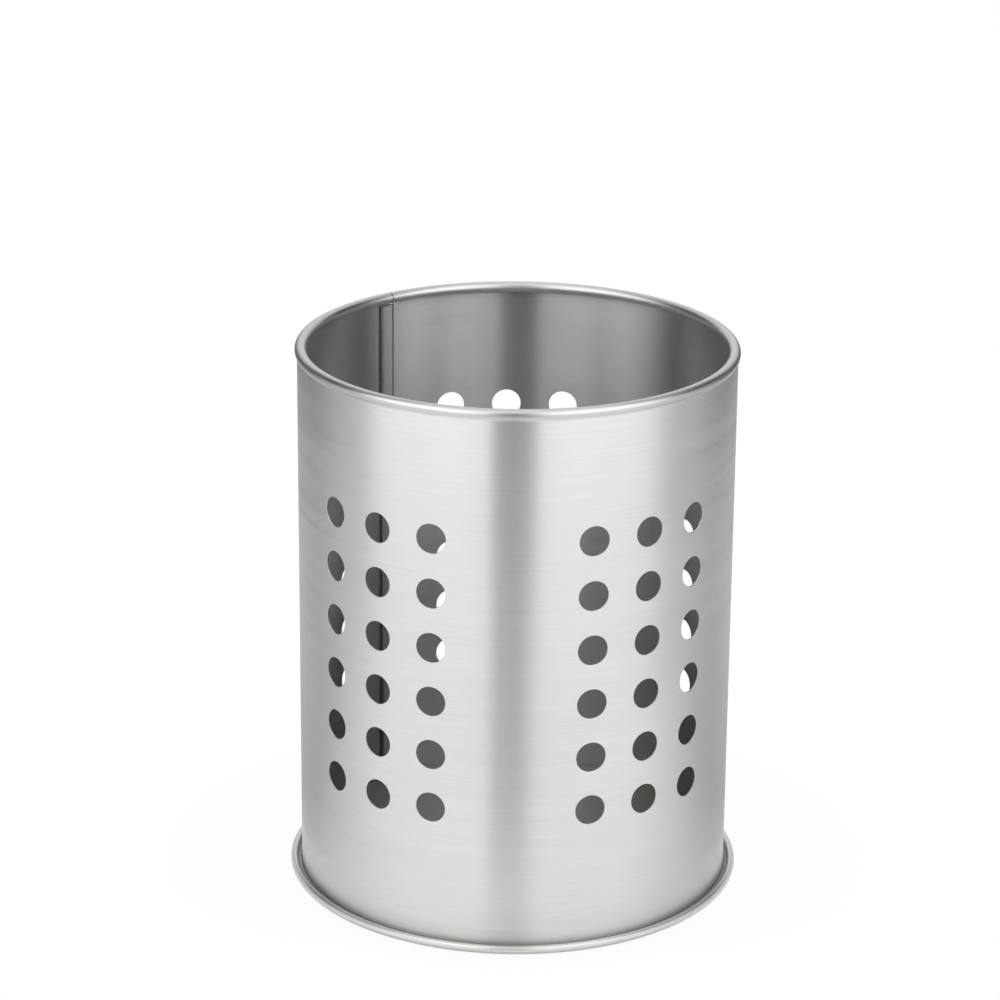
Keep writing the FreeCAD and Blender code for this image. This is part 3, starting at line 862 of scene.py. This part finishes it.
def light_round(tree, split, sides, gap):
    """The two lights of a ring for every direction, as outputs to wire on."""
    nodes, links = tree.nodes, tree.links
    forward = nodes.new("ShaderNodeMath")
    forward.operation = "MULTIPLY"
    forward.inputs[1].default_value = -1.0
    links.new(split.outputs["Y"], forward.inputs[0])
    angle = merged(tree, "ARCTAN2", split.outputs["X"], forward.outputs["Value"])
    ramp = nodes.new("ShaderNodeValToRGB")
    ramp.color_ramp.interpolation = "LINEAR"
    stops = ramp.color_ramp.elements
    table = [(-degrees, *lights) for degrees, *lights in sides[::-1]] + gap + sides
    while len(stops) < len(table):
        stops.new(0.5)
    for stop, (degrees, *lights) in zip(stops, table):
        stop.position = degrees / 360 + 0.5
    for stop, (degrees, lower, upper) in zip(stops, table):
        stop.color = (lower, upper, 0, 1)
    links.new(graded(tree, angle, -math.pi, math.pi, 0, 1), ramp.inputs["Fac"])
    lights = nodes.new("ShaderNodeSeparateColor")
    links.new(ramp.outputs["Color"], lights.inputs["Color"])
    return lights.outputs["Red"], lights.outputs["Green"]


print(len(WALL_SIDES), "lights on either side of the lens for the wall, and",
      len(MOUTH_SIDES), "for the mouth")

# %% Hang the two rings
TENT_SIDES = 96
RINGS = [                        # name, radius, bottom and top, heights of the change, lights
    ("lower_tent", 0.2, (0.001, 0.18), (0.07, 0.13), WALL_SIDES, WALL_GAP),
    ("upper_tent", 0.8, (0.2, 2.0), (0.7, 1.05), MOUTH_SIDES, MOUTH_GAP)]


def add_tent(name, radius, heights, change, sides, gap):
    """A ring of cloth that only reflections see, lit by direction and by height."""
    angles = [2 * math.pi * i / TENT_SIDES for i in range(TENT_SIDES)]
    points = [(radius * math.sin(a), -radius * math.cos(a), z) for z in heights for a in angles]
    faces = []
    for i in range(TENT_SIDES):
        after = (i + 1) % TENT_SIDES
        faces.append((i, after, TENT_SIDES + after, TENT_SIDES + i))
    tent = plain_object(name, points, faces)
    cloth = bpy.data.materials.new(name + "_cloth")
    cloth.use_nodes = True
    tree = cloth.node_tree
    nodes, links = tree.nodes, tree.links
    nodes.remove(nodes["Principled BSDF"])
    split = nodes.new("ShaderNodeSeparateXYZ")
    links.new(nodes.new("ShaderNodeTexCoord").outputs["Object"], split.inputs["Vector"])
    lower, upper = light_round(tree, split, sides, gap)
    blend = nodes.new("ShaderNodeMix")
    links.new(graded(tree, split.outputs["Z"], *change, 0, 1, smooth=True), blend.inputs["Factor"])
    links.new(lower, blend.inputs["A"])
    links.new(upper, blend.inputs["B"])
    glow = nodes.new("ShaderNodeEmission")
    links.new(blend.outputs["Result"], glow.inputs["Strength"])
    links.new(glow.outputs["Emission"], nodes["Material Output"].inputs["Surface"])
    tent.data.materials.append(cloth)
    tent.visible_camera = tent.visible_diffuse = tent.visible_shadow = False
    tent.visible_transmission = False


for ring in RINGS:
    add_tent(*ring)
print("tent of", len(RINGS), "rings")

# %% [markdown]
# ## Lamps and sky
# Two large softboxes stand to the left and right of the lens, and the sky fills in
# from all round. Together they light a matt white surface to just about white, so
# every colour renders as it is written. The steel doesn't mirror the softboxes, since
# the tent's cloth would hide them.

# %% Softboxes and sky
SKY_LEVEL = 0.93
SOFTBOX_SIZE, SOFTBOX_WATTS = 0.9, 7.0
SOFTBOX_DISTANCE, SOFTBOX_HEIGHT = 1.8, 0.9
SOFTBOX_AIM = 0.07               # height of the holder's middle
SOFTBOX_SWINGS = {"left_softbox": -48, "right_softbox": 48}   # degrees from the lens


def add_softbox(name, swing):
    lamp = bpy.data.lights.new(name, "AREA")
    lamp.shape, lamp.size, lamp.energy = "SQUARE", SOFTBOX_SIZE, SOFTBOX_WATTS
    softbox = bpy.data.objects.new(name, lamp)
    angle = math.radians(swing)
    softbox.location = (SOFTBOX_DISTANCE * math.sin(angle),
                        -SOFTBOX_DISTANCE * math.cos(angle), SOFTBOX_HEIGHT)
    aim = Vector((0, 0, SOFTBOX_AIM)) - softbox.location
    softbox.rotation_euler = aim.to_track_quat("-Z", "Y").to_euler()
    softbox.visible_glossy = False
    bpy.context.scene.collection.objects.link(softbox)


def add_sky():
    """Even light. The camera, and metal that mirrors it, see plain white."""
    sky = bpy.data.worlds.new("studio_sky")
    sky.use_nodes = True
    tree = sky.node_tree
    nodes, links = tree.nodes, tree.links
    fill = nodes["Background"]
    fill.inputs["Strength"].default_value = SKY_LEVEL
    fill.inputs["Color"].default_value = (1, 1, 1, 1)
    white = nodes.new("ShaderNodeBackground")
    white.inputs["Color"].default_value = (1, 1, 1, 1)
    path = nodes.new("ShaderNodeLightPath")
    seen = path.outputs["Is Camera Ray"]
    for kind in ("Is Glossy Ray", "Is Transmission Ray"):
        seen = merged(tree, "MAXIMUM", seen, path.outputs[kind])
    choose = nodes.new("ShaderNodeMixShader")
    links.new(seen, choose.inputs["Fac"])
    links.new(fill.outputs["Background"], choose.inputs[1])
    links.new(white.outputs["Background"], choose.inputs[2])
    links.new(choose.outputs["Shader"], nodes["World Output"].inputs["Surface"])
    bpy.context.scene.world = sky


for name, swing in SOFTBOX_SWINGS.items():
    add_softbox(name, swing)
add_sky()
bpy.context.scene.view_settings.view_transform = "Standard"
print(len(SOFTBOX_SWINGS), "softboxes and a sky of", SKY_LEVEL)
